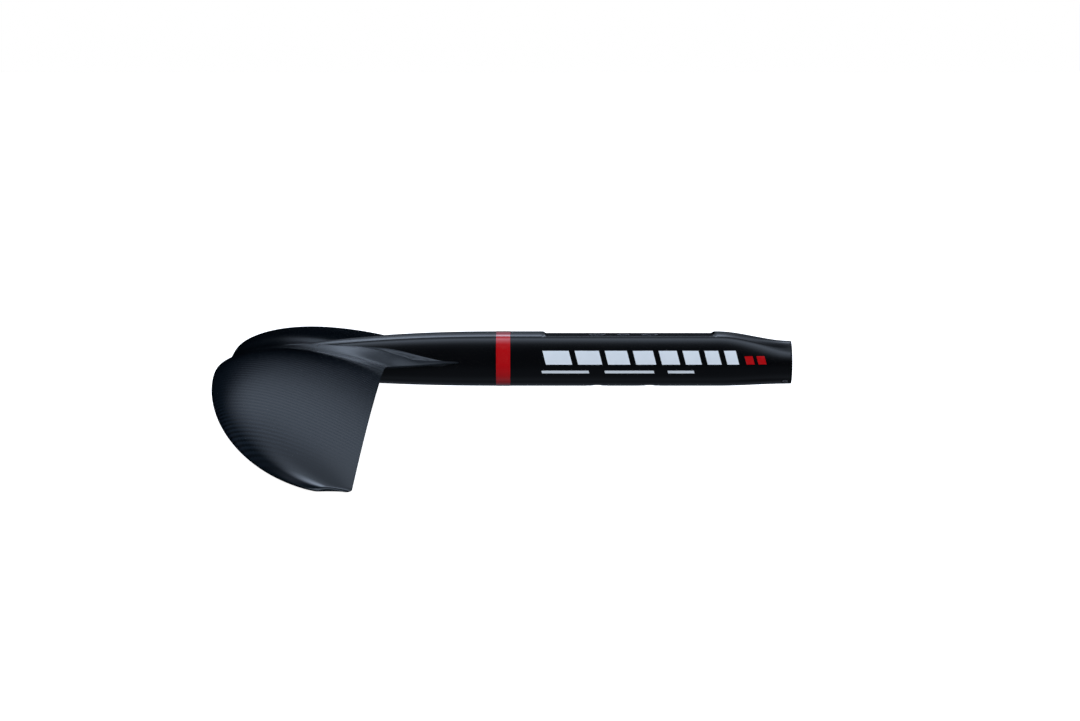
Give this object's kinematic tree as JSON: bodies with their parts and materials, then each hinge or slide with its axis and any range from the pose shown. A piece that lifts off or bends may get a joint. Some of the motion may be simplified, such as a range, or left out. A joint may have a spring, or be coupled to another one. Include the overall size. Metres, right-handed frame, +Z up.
{
  "type": "hydrofoil front wing with fuselage",
  "caption": "Slender hydrofoil front wing with drooped tips, moulded in one with its tapered fuselage; flat mast landing on top, round socket in the tail.",
  "frame": {"origin": "centre of the mast landing, on its flat floor", "axes": "+X aft towards the tail, +Y starboard along the span, +Z up towards the mast"},
  "size_m": [0.4098, 0.914, 0.0532],
  "materials": {
    "carbon_wing": "fine unidirectional carbon under a thin satin clear coat",
    "carbon_fuselage": "matte black carbon laminate",
    "carbon_spar": "bare cured carbon",
    "foam": "closed-cell structural foam",
    "hard_block": "machined black glass laminate",
    "stainless": "turned stainless steel",
    "socket_lining": "black anodised aluminium",
    "red_paint": "satin red paint",
    "pale_decal": "printed pale grey-blue film",
    "red_decal": "printed red film"
  },
  "bodies": {
    "root": {"wing_upper_skin": "carbon_wing", "wing_lower_skin": "carbon_wing", "spar_cap_upper": "carbon_spar", "spar_cap_lower": "carbon_spar", "spar_core": "foam", "spar_web_front": "carbon_spar", "spar_web_rear": "carbon_spar", "front_core_port": "foam", "rear_core_port": "foam", "front_core_starboard": "foam", "rear_core_starboard": "foam", "fuselage_upper_shell": "carbon_fuselage", "fuselage_lower_shell": "carbon_fuselage", "nose_core_upper": "foam", "nose_core_lower": "foam", "neck_core": "foam", "tail_core": "foam", "mast_block": "hard_block", "mast_bolt_sleeves": "stainless", "mast_bolt_seats": "stainless", "dowel_bush": "stainless", "tail_socket_liner": "socket_lining", "tail_socket_plug": "socket_lining", "tail_rim": "socket_lining", "lock_inserts": "socket_lining", "lock_screws": "stainless", "colour_band": "red_paint", "side_marking_port": "pale_decal", "side_marking_starboard": "pale_decal", "size_mark_port": "red_decal", "size_mark_starboard": "red_decal"}
  },
  "joints": []
}
